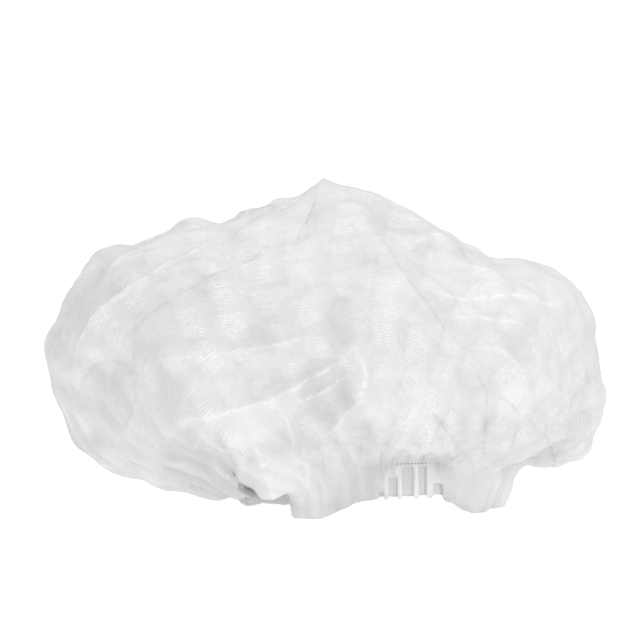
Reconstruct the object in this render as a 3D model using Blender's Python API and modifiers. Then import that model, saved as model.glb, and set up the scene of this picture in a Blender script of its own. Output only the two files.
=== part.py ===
"""A disposable hair cover: a round sheet of thin cloth gathered on an elastic, standing on its hem.

Metres, +Z up. The front is on the -Y side, and +X is to the right of someone who looks at the front.
The floor is z = 0. The cap has two pieces: the cloth crown and the elastic band inside its hem.
Lengths in the tables are in millimetres, which MM turns to metres.
"""

from collections import namedtuple
from math import pi, radians

import bmesh
import bpy
import numpy as np

MM = 0.001

# Driving sizes, in millimetres
CLOTH = 1.1
CLEARANCE = 0.3
PEAK_X = -1.4
PEAK_Z = 148.5

# The elastic is a flat band, bent to an oval
BAND_X = 17.5
BAND_HALF_WIDTH = 53.0
BAND_HALF_DEPTH = 46.0
BAND_HEIGHT = 14.4
BAND_THICKNESS = 1.0
BAND_ROWS = 3
BAND_SEAT = CLOTH + CLEARANCE

# The grid of the crown: columns round it and rows from the hem to the peak
COLUMNS = 96
ROWS_A_SECTION = 1.6

# The hem, from its cut edge under the elastic to the puff outside it. out is how far it lies outside the
# elastic, up is its height over the floor, and pleat is the share of the gathers' depth that it shows.
# Where the hem is lifted off the floor it lies close round the elastic, and up is over the lifted floor.
HemSection = namedtuple("HemSection", "name out up lifted_out lifted_up pleat")
HEM = [
    HemSection("cut_edge", -2.0, 0.0, -1.8, 0.0, 0.0),
    HemSection("foot_inside", 2.0, 0.0, 1.5, 0.0, 0.0),
    HemSection("foot_outside", 7.2, 0.0, 1.6, 3.0, 0.8),
    HemSection("puff_low", 9.4, 3.5, 1.6, 7.0, 1.0),
    HemSection("puff", 10.4, 10.0, 1.7, 12.0, 1.0),
]

# The crown above its hem. middle is the x of the section's middle, the next four are its reach to each side
# as a coordinate, and the last four its height there.
Section = namedtuple("Section", "name middle left right front back z_left z_right z_front z_back pleat")
CROWN = [
    Section("neck", 17, -45.5, 80, -58, 57, 14, 15, 17, 16, 0.9),
    Section("under_lobe", 16, -60, 89, -63.5, 67, 10, 19, 26, 15, 0.9),
    Section("lobe_low", 13, -83, 104, -69, 82, 14, 19, 36.5, 18, 0.7),
    Section("lobe_out", 9, -104, 116, -75, 95, 22, 25, 48, 27, 0.5),
    Section("belly_low", 6, -118.5, 122, -81, 103, 38, 37, 60, 42, 0.35),
    Section("belly", 3, -127, 123.5, -85, 107, 61, 53, 73, 61, 0.22),
    Section("belly_high", 2, -125, 121.5, -84, 105, 78, 71, 86, 80, 0.16),
    Section("shoulder_low", 1, -118.5, 119.5, -78, 98, 94, 84, 98.5, 96, 0.12),
    Section("shoulder", 1, -108, 112.5, -69, 87, 109, 98, 109, 108, 0.1),
    Section("shoulder_high", 0, -93, 96, -57, 72, 116.5, 106.5, 118, 118, 0.08),
    Section("brow", 0, -70, 74, -43, 54, 121, 112.5, 126, 125.5, 0.06),
    Section("upper", 0, -46, 56, -29, 36, 124.5, 124.5, 133.5, 132, 0.04),
    Section("crest", -1, -22, 30, -13.5, 17, 133, 138, 141.5, 140.5, 0.02),
    Section("tip", PEAK_X, -8, 9, -5, 5.5, 142, 144, 146, 146, 0.0),
]

# Where the hem is lifted off the floor: the middle and half width of the lift round the cap in degrees,
# the degrees over which it fades, and its height. Angles run from +X towards +Y, so the front is at 270.
Lift = namedtuple("Lift", "name middle half fade height")
LIFTS = [
    Lift("window", 290.5, 15.5, 13, 8.1),
    Lift("front_left", 203, 9, 15, 7.5),
    Lift("back_right", 48, 7, 12, 4.0),
    Lift("back_left", 128, 6, 12, 5.0),
]
LIFT_FADES_OUT = 1.8

# The gathers that the elastic makes
GATHERS = 24
GATHER_DEPTH = 3.0

# Folds of the front, laid out as they look from straight ahead and a little above: each is a curve through
# three places (across, up), with its half width and its height, below zero for a dent.
SIGHT_TILT = radians(5)
Fold = namedtuple("Fold", "name start middle end half_width height")
FRONT_FOLDS = [
    Fold("crease_below_peak", (-4, 141), (-8, 131), (-15, 120), 5, -3.1),
    Fold("ridge_beside_it", (-1, 145), (2, 134), (0, 118), 6, 2.5),
    Fold("long_left_ridge", (-20, 118), (-55, 100), (-88, 75), 7, 4.4),
    Fold("outer_left_ridge", (-36, 128), (-86, 98), (-112, 68), 7, 4.4),
    Fold("strip_behind", (-52, 125), (-92, 107), (-118, 78), 6, -3.1),
    Fold("long_right_ridge", (13, 132), (38, 96), (61, 71), 7, 4.4),
    Fold("right_valley", (33, 124), (62, 97), (86, 84), 9, -3.8),
    Fold("right_cross_fold", (46, 95), (76, 95), (107, 90), 6, 3.1),
    Fold("right_low_cross_fold", (61, 71), (76, 71), (84, 62), 6, 3.1),
    Fold("middle_hollow", (7, 101), (6, 86), (5, 72), 14, -6.2),
    Fold("dark_hollow", (-8, 56), (2, 50), (6, 40), 17, -8.8),
    Fold("bright_left_curve", (5, 65), (-20, 50), (-64, 42), 6, 5.0),
    Fold("short_curve", (17, 63), (15, 48), (0, 30), 6, 4.4),
    Fold("left_gather_ridge", (-33, 35), (-24, 20), (-11, 2), 6, 3.8),
    Fold("left_gather_valley", (-45, 36), (-40, 24), (-30, 8), 7, -3.8),
    Fold("middle_gather_ridge", (4, 34), (8, 20), (10, 4), 6, 3.1),
    Fold("leaf_fold", (74, 51), (73, 38), (69, 24), 6, 4.4),
    Fold("leaf_valley", (86, 48), (84, 36), (80, 22), 6, -4.4),
    Fold("left_oval_hollow", (-100, 60), (-101, 48), (-98, 34), 9, -4.4),
    Fold("left_oval_rim", (-84, 62), (-82, 48), (-90, 30), 6, 3.1),
    Fold("left_low_ridge", (-66, 40), (-72, 28), (-72, 14), 7, 3.1),
    Fold("right_lobe_hollow", (98, 44), (103, 34), (104, 22), 9, -3.8),
]

# Folds of the back, laid out the same way by their place across and their height
BACK_FOLDS = [
    Fold("back_seam_ridge", (0, 144), (10, 118), (16, 92), 6, 3.8),
    Fold("back_left_ridge", (-10, 140), (-52, 112), (-84, 70), 7, 4.4),
    Fold("back_right_ridge", (8, 140), (52, 104), (88, 76), 7, 4.4),
    Fold("back_right_valley", (34, 122), (66, 84), (70, 50), 8, -4.4),
    Fold("back_left_valley", (-30, 118), (-48, 82), (-46, 44), 9, -5.0),
    Fold("back_cross_fold", (-70, 76), (-30, 66), (14, 70), 6, 3.8),
    Fold("back_hollow", (26, 70), (28, 56), (22, 38), 12, -6.2),
    Fold("back_low_ridge", (-16, 52), (-20, 34), (-14, 18), 7, 3.8),
    Fold("back_outer_ridge", (58, 58), (62, 40), (56, 20), 7, 3.8),
]

# Puffs and notches that break the outline: where they are, their radius and their height
Puff = namedtuple("Puff", "name x y z radius height")
PUFFS = [
    Puff("left_crest_puff", -60, 20, 122, 13, 4.5),
    Puff("left_crest_notch", -76, 10, 119, 8, -4.5),
    Puff("left_shoulder_puff", -104, 14, 115, 17, 4.0),
    Puff("left_upper_notch", -46, 8, 128, 9, -2.5),
    Puff("left_side_notch", -121, 4, 82, 9, -2.5),
    Puff("left_low_puff", -88, -22, 13, 13, 2.5),
    Puff("left_low_notch", -72, -26, 13, 8, -2.5),
    Puff("left_inner_puff", -58, -26, 10, 12, 5.0),
    Puff("right_saddle", 68, 4, 113, 13, -3.5),
    Puff("right_shoulder_puff", 100, 6, 106, 17, 3.0),
    Puff("right_side_notch", 122, 0, 70, 10, -3.5),
    Puff("right_belly_puff", 125, 0, 52, 13, 2.0),
    Puff("right_low_notch", 122, -8, 32, 8, -2.0),
    Puff("back_puff", -22, 104, 62, 22, 4.0),
    Puff("back_right_puff", 62, 88, 70, 20, 3.5),
    Puff("back_left_notch", -66, 88, 56, 12, -3.5),
]

# Crumples: soft puffs and dents scattered over the body by a seeded draw
CRUMPLES = 150
CRUMPLE_SEED = 21
CRUMPLE_RADIUS = (8.0, 15.0)
CRUMPLE_HEIGHT = 4.0

# All relief fades out within this distance of the peak, where the folds meet
CALM_TOP = 34.0

# Soft waves of the whole body: how many go round, their depth, their turn in radians and how far they
# turn from hem to peak
Wave = namedtuple("Wave", "count depth turn drift")
WAVES = [Wave(5, 1.6, 0.6, 2.2), Wave(9, 1.3, 2.1, -1.7), Wave(13, 0.9, 4.0, 1.1)]

# The window at the front of the hem, as slots in the cloth: the place across of each side, and how high
# the slot reaches over the elastic's lower edge
Slot = namedtuple("Slot", "left right height")
SLOTS = [
    Slot(23.6, 25.8, 2.6),
    Slot(27.9, 31.9, 9.6),
    Slot(33.9, 39.1, 14.4),
    Slot(41.4, 44.9, 14.4),
    Slot(47.8, 52.0, 6.4),
]
SLOT_FRONT_Y = -75.0
SLOT_BACK_Y = -30.0
SLOT_ARCH_POINTS = 7

WHITE = (0.86, 0.87, 0.88, 1.0)
GREY = (0.62, 0.63, 0.64, 1.0)


def box_middle(points):
    """The middle, across and deep, of the box that holds all points."""
    flat = points.reshape(-1, 3)[:, :2]
    return (flat.min(axis=0) + flat.max(axis=0)) / 2


def clear_scene():
    """Takes everything out of the scene."""
    for thing in list(bpy.data.objects):
        bpy.data.objects.remove(thing, do_unlink=True)


def material(name, colour, roughness):
    """A plain Principled material."""
    made = bpy.data.materials.new(name)
    made.use_nodes = True
    shader = made.node_tree.nodes["Principled BSDF"]
    shader.inputs["Base Color"].default_value = colour
    shader.inputs["Roughness"].default_value = roughness
    shader.inputs["Metallic"].default_value = 0.0
    made.diffuse_color = colour
    return made


def lift_of(angle):
    """How far the hem is lifted off the floor at each angle, and its share of a full lift, from 0 to 1."""
    height = np.zeros_like(angle)
    share = np.zeros_like(angle)
    for lift in LIFTS:
        away = np.abs((angle - radians(lift.middle) + pi) % (2 * pi) - pi)
        t = np.clip((radians(lift.half + lift.fade) - away) / radians(lift.fade), 0, 1)
        fade = t * t * (3 - 2 * t)
        height += fade * lift.height
        share = np.maximum(share, fade * min(1.0, lift.height / LIFTS[0].height))
    return height, share


def smooth_between(values, places):
    """A smooth curve through rows of values, read at fractional row numbers (Catmull-Rom)."""
    last = len(values) - 1
    i = np.clip(np.floor(places).astype(int), 0, last - 1)
    t = (places - i)[:, None]
    before, start, end, after = (values[np.clip(i + k, 0, last)] for k in (-1, 0, 1, 2))
    return 0.5 * (
        2 * start
        + (end - before) * t
        + (2 * before - 5 * start + 4 * end - after) * t**2
        + (3 * start - before - 3 * end + after) * t**3
    )


def hem_rows(angle):
    """The rows of the hem as points, from the cut edge out: an oval round the elastic, pushed out and up."""
    height, lifted = lift_of(angle)
    rows = []
    for part in HEM:
        out = part.out + (part.lifted_out - part.out) * lifted
        up = part.up + (part.lifted_up - part.up) * lifted + height
        rows.append(
            np.stack(
                [
                    BAND_X + (BAND_HALF_WIDTH + out) * np.cos(angle),
                    (BAND_HALF_DEPTH + out) * np.sin(angle),
                    up,
                ],
                axis=-1,
            )
        )
    return np.array(rows)


def crown_rows(angle):
    """The rows of the crown as points: four quarter ovals a section, each section at its own heights."""
    table = np.array([section[1:] for section in CROWN], float)
    places = np.linspace(0, len(CROWN) - 1, round(ROWS_A_SECTION * (len(CROWN) - 1)) + 1)
    read = smooth_between(table, places)
    middle, left, right, front, back, z_left, z_right, z_front, z_back = read[:, :9, None].transpose(1, 0, 2)
    to_right, to_left = np.maximum(np.cos(angle), 0), np.maximum(-np.cos(angle), 0)
    to_back, to_front = np.maximum(np.sin(angle), 0), np.maximum(-np.sin(angle), 0)
    x = middle + (right - middle) * to_right + (left - middle) * to_left
    y = back * to_back + front * to_front
    z = z_right * to_right**2 + z_left * to_left**2 + z_back * to_back**2 + z_front * to_front**2
    height, lifted = lift_of(angle)
    near_hem = np.clip(1 - places / LIFT_FADES_OUT, 0, 1)[:, None]
    z = z + height * near_hem
    close_in = np.clip(1 - places, 0, 1)[:, None] * lifted * 3.6
    return np.stack([x - close_in * np.cos(angle), y - close_in * np.sin(angle), z], axis=-1), read[:, 9]


def outward(points):
    """Unit normals of a grid of points that closes round its columns."""
    along = np.gradient(points, axis=0)
    round_it = np.roll(points, -1, axis=1) - np.roll(points, 1, axis=1)
    normal = np.cross(round_it, along)
    return normal / np.maximum(np.linalg.norm(normal, axis=-1, keepdims=True), 1e-9)


def curve_points(fold, count=13):
    """Points along the curve that runs through a fold's three places."""
    start, middle, end = (np.array(p, float) for p in (fold.start, fold.middle, fold.end))
    pull = 2 * middle - 0.5 * (start + end)
    t = np.linspace(0, 1, count)[:, None]
    return (1 - t) ** 2 * start + 2 * t * (1 - t) * pull + t**2 * end


def fold_relief(points, normal):
    """The height of all folds at each point: a bell across each fold, on the side that it belongs to."""
    relief = np.zeros(points.shape[:2])
    for folds, facing, tilt in ((FRONT_FOLDS, -1, SIGHT_TILT), (BACK_FOLDS, 1, 0.0)):
        seen = np.stack(
            [points[..., 0], points[..., 2] * np.cos(tilt) + points[..., 1] * np.sin(tilt)], axis=-1
        )
        side = np.clip(facing * normal[..., 1] * 3 + 0.8, 0, 1)
        for fold in folds:
            path = curve_points(fold)
            away = np.min(np.linalg.norm(seen[:, :, None] - path, axis=-1), axis=-1)
            relief += side * fold.height * np.exp(-((away / fold.half_width) ** 2))
    return relief


def puff_relief(points):
    """The height of all puffs and notches at each point: a bell round each one's middle."""
    relief = np.zeros(points.shape[:2])
    for puff in PUFFS:
        away = np.linalg.norm(points - np.array([puff.x, puff.y, puff.z]), axis=-1)
        relief += puff.height * np.exp(-((away / puff.radius) ** 2))
    return relief


def crumple_relief(points):
    """Puffs and dents round places drawn evenly over the body's area, each a bell of its own size."""
    draw = np.random.default_rng(CRUMPLE_SEED)
    round_it = np.roll(points, -1, axis=1) - points
    area = np.linalg.norm(np.cross(round_it, np.gradient(points, axis=0)), axis=-1).ravel()
    spots = points.reshape(-1, 3)[draw.choice(area.size, CRUMPLES, p=area / area.sum())]
    radii = draw.uniform(*CRUMPLE_RADIUS, CRUMPLES)
    heights = draw.uniform(-CRUMPLE_HEIGHT, CRUMPLE_HEIGHT, CRUMPLES)
    away = np.linalg.norm(points[:, :, None] - spots, axis=-1)
    return (heights * np.exp(-((away / radii) ** 2))).sum(axis=-1)


def wave_relief(angle, share):
    """Soft waves round the body, which fade out at the hem and at the peak."""
    relief = np.zeros((len(share), len(angle)))
    for wave in WAVES:
        relief += wave.depth * np.sin(wave.count * angle + wave.turn + wave.drift * share[:, None])
    return relief * np.clip(share * (1 - share) * 5, 0, 1)[:, None]


def gather_relief(angle, pleat):
    """The gathers: a wave round the hem, uneven in depth and spacing as hand gathers are."""
    wave = np.cos(GATHERS * angle + 1.1 * np.sin(3 * angle + 0.7))
    uneven = 0.75 + 0.25 * np.sin(5 * angle + 2.0)
    return GATHER_DEPTH * pleat[:, None] * (wave * uneven)


def crown_points():
    """The crown's outer skin as a grid of points, hem first, without the peak."""
    angle = np.arange(COLUMNS) * 2 * pi / COLUMNS
    hem = hem_rows(angle)
    rows, pleat = crown_rows(angle)
    _, lifted = lift_of(angle)
    smooth = np.concatenate([hem, rows])
    normal = outward(smooth)
    level = np.stack([np.cos(angle), np.sin(angle), np.zeros_like(angle)], axis=-1)
    gathers = gather_relief(angle, np.concatenate([[part.pleat for part in HEM], pleat]))
    relief = np.zeros(smooth.shape[:2])
    share = np.linspace(0, 1, len(rows))
    relief[len(hem) :] = wave_relief(angle, share)
    above = slice(len(hem) + 1, None)
    body = smooth[above]
    from_peak = np.linalg.norm(body - np.array([PEAK_X, 0, PEAK_Z]), axis=-1)
    calm_top = np.clip(from_peak / CALM_TOP, 0, 1) ** 2
    relief[above] += calm_top * (fold_relief(body, normal[above]) + puff_relief(body) + crumple_relief(body))
    relief[len(hem) + 2 :] += gathers[len(hem) + 2 :]
    points = smooth + normal * relief[..., None]
    low = slice(0, len(hem) + 2)
    points[low] += level * (gathers[low] * (1 - lifted))[..., None]
    points[..., 2] = np.maximum(points[..., 2], 0)
    return points


def grid_mesh(name, points, peak=None):
    """A mesh of quads on a grid that closes round its columns, with a fan to the peak if there is one."""
    rows, columns = points.shape[:2]
    row, column = np.meshgrid(np.arange(rows - 1), np.arange(columns), indexing="ij")
    beside = (column + 1) % columns
    quads = np.stack(
        [
            row * columns + column,
            row * columns + beside,
            (row + 1) * columns + beside,
            (row + 1) * columns + column,
        ],
        axis=-1,
    ).reshape(-1, 4)
    places = points.reshape(-1, 3) * MM
    faces = quads.tolist()
    if peak is not None:
        places = np.vstack([places, np.array(peak) * MM])
        around = (rows - 1) * columns + np.arange(columns)
        faces += np.stack([around, np.roll(around, -1), np.full(columns, len(places) - 1)], axis=-1).tolist()
    mesh = bpy.data.meshes.new(name)
    mesh.from_pydata(places.tolist(), [], faces)
    mesh.update()
    return mesh


def add_object(name, mesh, collection, origin, surface=None):
    """Puts a mesh in a collection as an object of that name, carried by the origin."""
    made = bpy.data.objects.new(name, mesh)
    made.parent = origin
    collection.objects.link(made)
    if surface:
        mesh.materials.append(surface)
    return made


def window_cutter(collection, origin, floor):
    """One prism a slot of the window: straight sides and a round top, run through the front of the hem."""
    form = bmesh.new()
    for slot in SLOTS:
        middle = (slot.left + slot.right) / 2
        half = (slot.right - slot.left) / 2
        arch = np.linspace(0, pi, SLOT_ARCH_POINTS)
        across = [slot.left, slot.right, *(middle + half * np.cos(arch))[1:-1]]
        spring = max(slot.height - half, 0.5)
        up = [-BAND_SEAT - 1, -BAND_SEAT - 1, *(spring + half * np.sin(arch))[1:-1]]
        across[2:2] = [slot.right]
        up[2:2] = [spring]
        across.append(slot.left)
        up.append(spring)
        front = [form.verts.new((x * MM, SLOT_FRONT_Y * MM, (floor + z) * MM)) for x, z in zip(across, up)]
        face = form.faces.new(front)
        grown = bmesh.ops.extrude_face_region(form, geom=[face])
        moved = [item for item in grown["geom"] if isinstance(item, bmesh.types.BMVert)]
        bmesh.ops.translate(form, verts=moved, vec=(0, (SLOT_BACK_Y - SLOT_FRONT_Y) * MM, 0))
    bmesh.ops.recalc_face_normals(form, faces=form.faces)
    mesh = bpy.data.meshes.new("window_slots")
    form.to_mesh(mesh)
    form.free()
    cutter = add_object("window_slots", mesh, collection, origin)
    cutter.hide_render = True
    cutter.display_type = "WIRE"
    return cutter


def add_wall(piece, thickness):
    """Gives an open surface its thickness, inwards from the skin."""
    wall = piece.modifiers.new("wall", "SOLIDIFY")
    wall.thickness = thickness * MM
    wall.offset = -1
    wall.use_rim = True


def add_crown(points, parts, cutters, origin):
    """The cloth crown with its gathered hem and the window in it."""
    mesh = grid_mesh("crown", points, (PEAK_X, 0, PEAK_Z))
    mesh.shade_smooth()
    crown = add_object("crown", mesh, parts, origin, material("nonwoven", WHITE, 0.6))
    add_wall(crown, CLOTH)
    cut = crown.modifiers.new("window", "BOOLEAN")
    cut.operation = "DIFFERENCE"
    cut.solver = "EXACT"
    cut.object = window_cutter(cutters, origin, BAND_SEAT + LIFTS[0].height)


def add_elastic_band(parts, origin):
    """The elastic: an upright oval band that follows the lifts of the hem and stands on the turned-in edge.

    Where the edge climbs, its thickness reaches higher, by the length of the slope for each step along it.
    """
    angle = np.arange(COLUMNS) * 2 * pi / COLUMNS
    height, _ = lift_of(angle)
    x, y = BAND_X + BAND_HALF_WIDTH * np.cos(angle), BAND_HALF_DEPTH * np.sin(angle)
    step = np.hypot(np.roll(x, -1) - x, np.roll(y, -1) - y)
    climb = np.abs(np.roll(height, -1) - height) / step
    steepest = np.maximum(climb, np.roll(climb, 1))
    foot = height + CLOTH * np.sqrt(1 + steepest**2) + CLEARANCE
    up = np.linspace(0, BAND_HEIGHT, BAND_ROWS + 1)[:, None]
    points = np.stack(np.broadcast_arrays(x, y, foot + up), axis=-1)
    mesh = grid_mesh("elastic_band", points)
    mesh.shade_smooth()
    band = add_object("elastic_band", mesh, parts, origin, material("elastic", GREY, 0.8))
    add_wall(band, BAND_THICKNESS)


clear_scene()
parts = bpy.data.collections.new("disposable_hair_cover")
cutters = bpy.data.collections.new("cutters")
for collection in (parts, cutters):
    bpy.context.scene.collection.children.link(collection)
crown_skin = crown_points()
origin = bpy.data.objects.new("middle_of_the_floor", None)
origin.location = (*(-MM * box_middle(crown_skin)), 0)
parts.objects.link(origin)
add_crown(crown_skin, parts, cutters, origin)
add_elastic_band(parts, origin)
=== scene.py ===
"""A disposable hair cover of thin white nonwoven, gathered on a flat elastic, unworn on a table."""

from collections import namedtuple
from functools import partial
from math import inf, pi, radians

import bpy
import numpy as np
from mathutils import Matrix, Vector


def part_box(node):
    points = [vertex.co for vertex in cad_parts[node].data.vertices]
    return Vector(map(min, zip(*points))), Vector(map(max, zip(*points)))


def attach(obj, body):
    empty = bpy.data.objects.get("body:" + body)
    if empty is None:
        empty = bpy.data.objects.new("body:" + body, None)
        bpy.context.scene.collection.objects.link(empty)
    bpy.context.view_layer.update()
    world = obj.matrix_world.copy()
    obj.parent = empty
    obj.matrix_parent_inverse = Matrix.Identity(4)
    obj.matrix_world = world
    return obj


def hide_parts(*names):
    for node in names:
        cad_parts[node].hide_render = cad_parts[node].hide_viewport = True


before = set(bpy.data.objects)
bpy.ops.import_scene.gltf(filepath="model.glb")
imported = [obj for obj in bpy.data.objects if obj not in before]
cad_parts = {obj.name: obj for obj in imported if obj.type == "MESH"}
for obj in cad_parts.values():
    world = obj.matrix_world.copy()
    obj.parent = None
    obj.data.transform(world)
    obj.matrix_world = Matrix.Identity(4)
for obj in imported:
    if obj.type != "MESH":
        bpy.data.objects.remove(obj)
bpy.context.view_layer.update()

# The crown
# One round sheet of spunbond polypropylene, 0.53 m across, cut from the roll and gathered all round its
# edge, which is turned in under the elastic. It stands by itself like a low tent, and the fan folds that it
# was packed in still show as bands across it.

MM = 0.001
SHEET_WIDTH = 533.0

# The oval that the elastic lies on, in mm as all sizes here: the x of its middle, half its width and depth
BAND_X = 17.5
BAND_HALF_WIDTH = 53.0
BAND_HALF_DEPTH = 46.0
PEAK = np.array([-1.4, 0.0, 148.5])

COLUMNS = 960
# The grid's bands from the cut edge up: where each ends, in mm from the cut edge, its rows, and how many
# columns of the whole grid make one of its own
Level = namedtuple("Level", "end rows stride")
LEVELS = [Level(66.0, 48, 1), Level(225.0, 92, 2), Level(None, 24, 4)]

# Each section of the crown is an oval of four quarters: the x of its middle, its reach to each side as a
# coordinate, its height there, and the share of the gathers' depth that it shows.
Section = namedtuple("Section", "name middle left right front back z_left z_right z_front z_back pleat")


def hem_section(name, out, up, pleat, forward=0.0, right=0.0):
    """A level oval round the elastic, one distance out all round, and further in front and at the right."""
    wide, deep = BAND_HALF_WIDTH + out, BAND_HALF_DEPTH + out
    left_end, right_end = BAND_X - wide, BAND_X + wide + right
    return Section(name, BAND_X, left_end, right_end, -deep - forward, deep, up, up, up, up, pleat)


HEM = [
    hem_section("cut_edge", -4.6, 25.0, 0.0),
    hem_section("turned_in", -4.6, 8.0, 0.0),
    hem_section("turn", -2.6, 1.4, 0.1),
    hem_section("foot_inside", 1.6, 0.0, 0.3),
    hem_section("foot_outside", 7.0, 0.0, 0.8, forward=0.6, right=-2.5),
    hem_section("puff_low", 8.4, 3.2, 1.0, forward=2.4, right=-1.0),
    hem_section("puff", 9.2, 10.0, 1.0, forward=4.0, right=1.0),
]
LIFTED_HEM = [
    hem_section("cut_edge", -4.6, 25.0, 0.0),
    hem_section("turned_in", -4.6, 8.0, 0.0),
    hem_section("turn", -2.6, 1.6, 0.1),
    hem_section("foot_inside", 1.5, 1.0, 0.1),
    hem_section("foot_outside", 1.8, 2.4, 0.2),
    hem_section("puff_low", 1.6, 7.0, 0.4),
    hem_section("puff", 1.8, 15.4, 0.5),
]
CROWN = [
    Section("neck", 17, -46.5, 83, -61.5, 57, 13, 15, 17, 16, 0.95),
    Section("under_lobe", 16, -60, 88.5, -67, 67, 12, 21, 26, 15, 0.95),
    Section("lobe_low", 13, -85, 102.5, -71.5, 82, 16, 20.5, 36.5, 18, 0.8),
    Section("lobe_out", 9, -107.5, 115.5, -76.5, 95, 23, 26.5, 48, 27, 0.6),
    Section("belly_low", 6, -119.5, 119, -81, 103, 38, 39, 60, 42, 0.4),
    Section("belly", 3, -127.5, 121, -85, 107, 61, 53, 73, 61, 0.24),
    Section("belly_high", 2, -127, 119, -84, 105, 78, 70, 86, 80, 0.14),
    Section("shoulder_low", 1, -118.5, 116, -78, 98, 94, 83, 98.5, 96, 0.08),
    Section("shoulder", 1, -108, 108, -69, 87, 109, 96.5, 109, 108, 0.05),
    Section("shoulder_high", 0, -93, 90.5, -57, 72, 116.5, 105, 118, 118, 0.03),
    Section("brow", 0, -70, 71, -43, 54, 121, 111, 126, 125.5, 0.02),
    Section("upper", 0, -46, 55, -29, 36, 124.5, 124.5, 133.5, 132, 0.01),
    Section("crest", -1, -22, 30, -13.5, 17, 133, 138, 141.5, 140.5, 0.0),
    Section("tip", -1.4, -8, 9, -5, 5.5, 142, 144, 146, 146, 0.0),
]
PULLED_IN = [
    Section("neck", 17, -41.9, 76.4, -52.5, 53.4, 14, 17, 19, 16, 0.8),
    Section("under_lobe", 16, -60, 88.5, -59.5, 67, 12, 21, 27.5, 15, 0.9),
    Section("lobe_low", 13, -85, 102.5, -68, 82, 16, 20.5, 37.5, 18, 0.8),
]
RESTING = np.array([section[1:] for section in HEM + CROWN], float)
LIFTED = np.array([section[1:] for section in LIFTED_HEM + PULLED_IN + CROWN[len(PULLED_IN) :]], float)


def middle_of_band():
    """How far the CAD lies from the tables' origin: the middle of the elastic's box less its place there."""
    low, high = (np.array(corner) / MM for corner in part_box("elastic_band"))
    return np.array([(low[0] + high[0]) / 2 - BAND_X, (low[1] + high[1]) / 2, 0.0])


def smooth_between(values, places):
    """A smooth curve through rows of values, read at fractional row numbers (Catmull-Rom)."""
    last = len(values) - 1
    i = np.clip(np.floor(places).astype(int), 0, last - 1)
    t = (places - i)[:, None]
    before, start, end, after = (values[np.clip(i + k, 0, last)] for k in (-1, 0, 1, 2))
    return 0.5 * (
        2 * start
        + (end - before) * t
        + (2 * before - 5 * start + 4 * end - after) * t**2
        + (3 * start - before - 3 * end + after) * t**3
    )


def ease(t):
    """From 0 to 1 with level ends: three times t squared less twice t cubed."""
    t = np.clip(t, 0, 1)
    return t * t * (3 - 2 * t)


# Where the hem is lifted off the table: the middle and half width of the lift in degrees round the cap from
# +X towards +Y, the degrees over which it fades, and its height
Lift = namedtuple("Lift", "name middle half fade height")
LIFTS = [
    Lift("window", 290.5, 15, 28, 8.1),
    Lift("front_left", 221, 11, 6, 4.2),
    Lift("left", 182, 20, 10, 3.6),
    Lift("back_right", 48, 7, 12, 4.0),
    Lift("back_left", 128, 6, 12, 5.0),
]
# A lift runs out over this many sections above the hem
LIFT_FADES_OUT = 1.8
# The turned-in edge ends this far from the cut edge
TURN_DOWN = 22.5


def lift_of(angle):
    """How far the hem is lifted off the table at each angle, and its share of a full lift, from 0 to 1."""
    height, share = np.zeros_like(angle), np.zeros_like(angle)
    for lift in LIFTS:
        away = np.abs((angle - radians(lift.middle) + pi) % (2 * pi) - pi)
        fade = ease((radians(lift.half + lift.fade) - away) / radians(lift.fade))
        height += fade * lift.height
        share = np.maximum(share, fade * min(1.0, lift.height / LIFTS[0].height))
    return height, share


def cap_form(angle, places):
    """The smooth form: at each place between sections, four quarter ovals, each at its own height.

    x and y go with the cosine and sine of the angle, and the height with their squares. Where the hem is
    lifted, the form goes over from the resting sections to the lifted ones.
    """
    height, lifted = lift_of(angle)
    rest, lift = (smooth_between(table, places)[:, :, None] for table in (RESTING, LIFTED))
    read = [rest[:, k] + (lift[:, k] - rest[:, k]) * lifted for k in range(RESTING.shape[1])]
    middle, left, right, front, back, z_left, z_right, z_front, z_back, pleat = read
    to_right, to_left = np.maximum(np.cos(angle), 0), np.maximum(-np.cos(angle), 0)
    to_back, to_front = np.maximum(np.sin(angle), 0), np.maximum(-np.sin(angle), 0)
    x = middle + (right - middle) * to_right + (left - middle) * to_left
    y = back * to_back + front * to_front
    z = z_right * to_right**2 + z_left * to_left**2 + z_back * to_back**2 + z_front * to_front**2
    near_hem = np.clip(1 - (places - len(HEM)) / LIFT_FADES_OUT, 0, 1)[:, None]
    return np.stack([x, y, np.maximum(z + height * near_hem, 0)], axis=-1), pleat


TRIAL_ROWS, TRIAL_COLUMNS = 400, 48


def spread_rows():
    """The rows' places along the sections, how far each lies from the cut edge in mm, and its stride."""
    fine = np.linspace(0, len(RESTING) - 1, TRIAL_ROWS)
    around = np.linspace(0, 2 * pi, TRIAL_COLUMNS, endpoint=False)
    points, _ = cap_form(np.broadcast_to(around, (TRIAL_ROWS, TRIAL_COLUMNS)), fine)
    step = np.linalg.norm(np.diff(points, axis=0), axis=-1).mean(axis=1)
    far = np.concatenate([[0], np.cumsum(step)])
    rows, start = [], 0.0
    for level in LEVELS:
        end = level.end or far[-1]
        rows.append(np.linspace(start, end, level.rows, endpoint=level.end is None))
        start = end
    rows = np.concatenate(rows)
    stride = np.repeat([level.stride for level in LEVELS], [level.rows for level in LEVELS])
    return np.interp(rows, far, fine), rows, stride


def outward(points):
    """Unit normals of a grid of points that closes round its columns."""
    along = np.gradient(points, axis=0)
    round_it = np.roll(points, -1, axis=1) - np.roll(points, 1, axis=1)
    normal = np.cross(round_it, along)
    return normal / np.maximum(np.linalg.norm(normal, axis=-1, keepdims=True), 1e-9)


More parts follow.
